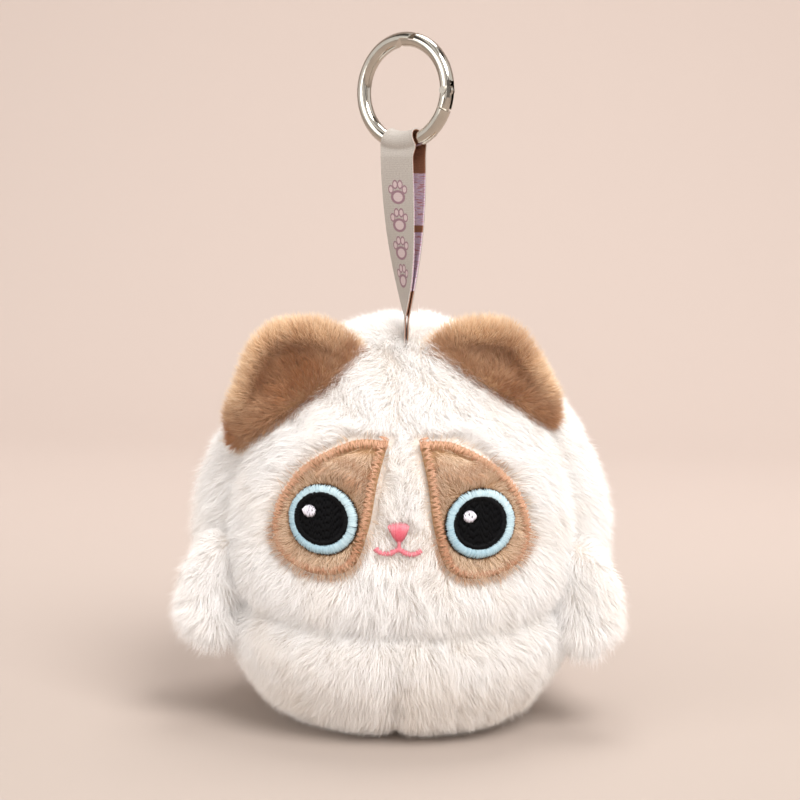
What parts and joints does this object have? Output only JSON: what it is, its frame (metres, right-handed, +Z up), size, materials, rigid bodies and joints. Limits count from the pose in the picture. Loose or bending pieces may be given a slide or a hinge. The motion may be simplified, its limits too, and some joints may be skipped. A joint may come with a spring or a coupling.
{
  "type": "plush keychain",
  "caption": "Round plush cat with short ears, floppy paws and an embroidered face, hung by a folded ribbon loop from a spring-gate ring.",
  "frame": {"origin": "centre of the body's box at the flat base it sits on", "axes": "+Z up along the ribbon, the face looks along -Y, +X is the viewer's right"},
  "size_m": [0.121, 0.102, 0.1805],
  "materials": {
    "white_pile": "soft white faux fur, pile about 6 mm",
    "tan_pile": "short tan faux fur, pile 3 to 5 mm",
    "filling": "white polyester fibre filling",
    "peach_thread": "satin embroidery thread",
    "blue_thread": "satin embroidery thread",
    "black_thread": "satin embroidery thread",
    "white_thread": "satin embroidery thread",
    "pink_thread": "satin embroidery thread",
    "ribbon": "woven polyester ribbon, cream face, brown reverse",
    "nickel": "polished nickel plate on zinc alloy",
    "spring_steel": "bright spring wire"
  },
  "bodies": {
    "plush": {"face_panel_left": "white_pile", "belly_panel_left": "white_pile", "back_panel_left": "white_pile", "face_panel_right": "white_pile", "belly_panel_right": "white_pile", "back_panel_right": "white_pile", "stuffing": "filling", "eye_patch_left": "tan_pile", "patch_stitching_left": "peach_thread", "iris_left": "blue_thread", "pupil_left": "black_thread", "eye_glint_left": "white_thread", "eye_patch_right": "tan_pile", "patch_stitching_right": "peach_thread", "iris_right": "blue_thread", "pupil_right": "black_thread", "eye_glint_right": "white_thread", "nose": "pink_thread", "mouth": "pink_thread", "strap_root": "ribbon"},
    "ear_left": {"ear_front_left": "tan_pile", "ear_back_left": "tan_pile"},
    "paw_left": {"paw_front_left": "white_pile", "paw_back_left": "white_pile"},
    "ear_right": {"ear_front_right": "tan_pile", "ear_back_right": "tan_pile"},
    "paw_right": {"paw_front_right": "white_pile", "paw_back_right": "white_pile"},
    "strap": {"strap_leg_front": "ribbon", "strap_leg_back": "ribbon"},
    "bight": {"strap_bight": "ribbon"},
    "ring": {"ring_arc": "nickel", "hinge_pin": "nickel"},
    "gate": {"ring_gate": "nickel", "gate_spring": "spring_steel"}
  },
  "joints": [
    {"name": "strap_lean", "type": "hinge", "parent": "plush", "child": "strap", "pos_m": [0, -0.015, 0.1074], "axis": [0, 1, 0], "range_deg": [-60, 60]},
    {"name": "ring_swing", "type": "hinge", "parent": "strap", "child": "bight", "pos_m": [-0.002, -0.015, 0.1525], "axis": [0.809, -0.5878, 0], "range_deg": [-90, 90]},
    {"name": "ring_slide", "type": "hinge", "parent": "bight", "child": "ring", "pos_m": [-0.002, -0.015, 0.1656], "axis": [-0.5878, -0.809, 0], "range_deg": [-40, 140]},
    {"name": "gate_open", "type": "hinge", "parent": "ring", "child": "gate", "pos_m": [0.0086, -0.0227, 0.1656], "axis": [-0.5878, -0.809, 0], "range_deg": [0, 30], "stiffness_Nm_per_rad": 0.006, "springref_deg": -20.05},
    {"name": "ear_flex_left", "type": "hinge", "parent": "plush", "child": "ear_left", "pos_m": [-0.02961, -0.01612, 0.08732], "axis": [0.7954, -0.1836, 0.5776], "range_deg": [-15, 15], "stiffness_Nm_per_rad": 0.01},
    {"name": "ear_flex_right", "type": "hinge", "parent": "plush", "child": "ear_right", "pos_m": [0.02421, -0.01464, 0.09188], "axis": [0.8528, 0.219, -0.4741], "range_deg": [-15, 15], "stiffness_Nm_per_rad": 0.01},
    {"name": "paw_flap_left", "type": "hinge", "parent": "plush", "child": "paw_left", "pos_m": [-0.0475, -0.0175, 0.036], "axis": [0, 0, 1], "range_deg": [0, 40], "stiffness_Nm_per_rad": 0.005},
    {"name": "paw_flap_right", "type": "hinge", "parent": "plush", "child": "paw_right", "pos_m": [0.0475, -0.0175, 0.036], "axis": [0, 0, -1], "range_deg": [0, 40], "stiffness_Nm_per_rad": 0.005}
  ]
}
